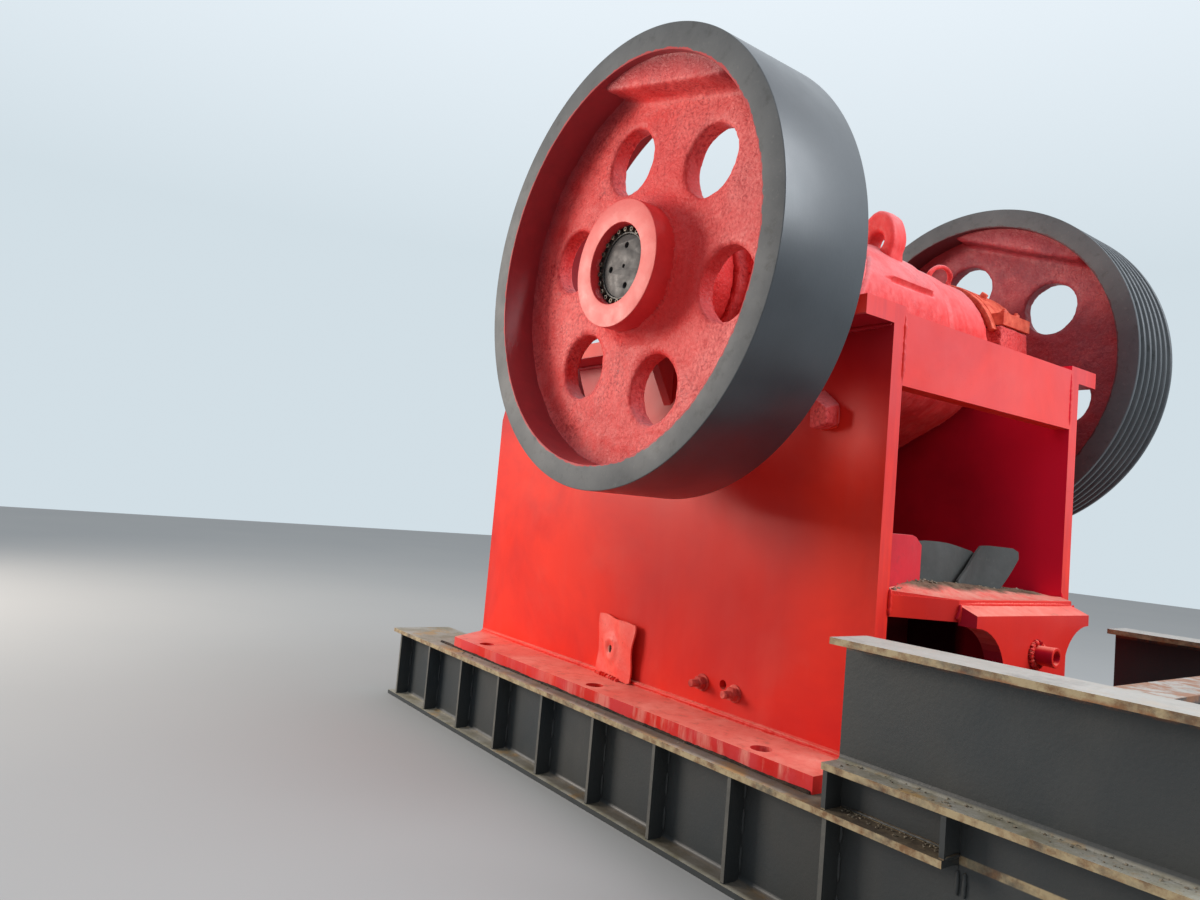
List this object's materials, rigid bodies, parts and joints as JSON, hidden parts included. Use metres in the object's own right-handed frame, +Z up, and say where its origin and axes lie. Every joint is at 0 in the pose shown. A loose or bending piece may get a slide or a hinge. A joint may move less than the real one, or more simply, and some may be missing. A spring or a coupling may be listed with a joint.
{
  "type": "jaw crusher",
  "caption": "Single-toggle jaw crusher with a plain and a grooved flywheel, open rear window and toothed jaws, on a stretch of stiffened beams.",
  "frame": {"origin": "on the ground plane of the beams, midway along and across the crusher frame", "axes": "+X towards the toggle side with the rear window, +Y towards the grooved flywheel, +Z up"},
  "size_m": [2.72, 1.743, 1.899],
  "materials": {
    "red_paint": "brushed and sprayed red gloss paint on steel castings and plate",
    "jaw_steel": "rough cast manganese steel, dusty, worn on the teeth",
    "bare_steel": "turned steel, dull, with specks of red paint",
    "wheel_iron": "grey machined rims, red painted webs and hubs",
    "chassis_paint": "dark grey paint, dusty, with rust along the flange edges",
    "loose_sheet": "dusty grey rubber sheet"
  },
  "bodies": {
    "frame": {"near_side_plate": "red_paint", "far_side_plate": "red_paint", "front_wall": "red_paint", "rear_cross_plate": "red_paint", "rear_shelf": "red_paint", "rod_bracket": "red_paint", "toggle_beam": "red_paint", "fixed_jaw": "jaw_steel", "jaw_key": "jaw_steel", "cheek_plates": "jaw_steel", "bearing_housings": "red_paint", "bearing_caps": "red_paint", "toggle_plate": "bare_steel", "tension_rod": "red_paint", "guide_block": "red_paint", "loose_plates": "loose_sheet", "patch_plate": "red_paint", "side_studs": "bare_steel", "side_lug": "red_paint", "near_beam": "chassis_paint", "far_beam": "chassis_paint", "cross_members": "chassis_paint", "near_upper_beam": "chassis_paint", "far_upper_beam": "chassis_paint", "risers": "chassis_paint", "upper_cross_member": "chassis_paint"},
    "rotor": {"eccentric_shaft": "bare_steel", "plain_flywheel": "wheel_iron", "grooved_flywheel": "wheel_iron", "locking_rings": "bare_steel"},
    "swing": {"pitman": "red_paint", "swing_jaw": "jaw_steel", "jaw_clamp": "jaw_steel", "lifting_eye": "red_paint", "barrel_loops": "red_paint", "pitman_rings": "red_paint"}
  },
  "joints": [
    {"name": "shaft_spin", "type": "hinge", "parent": "frame", "child": "rotor", "pos_m": [0.384, 0, 1.359], "axis": [0, 1, 0], "continuous": true},
    {"name": "jaw_orbit", "type": "hinge", "parent": "rotor", "child": "swing", "pos_m": [0.38089, 0, 1.34741], "axis": [0, 1, 0], "continuous": true}
  ],
  "couplings": [
    {"joint": "jaw_orbit", "follows": "shaft_spin", "ratio": -1}
  ]
}
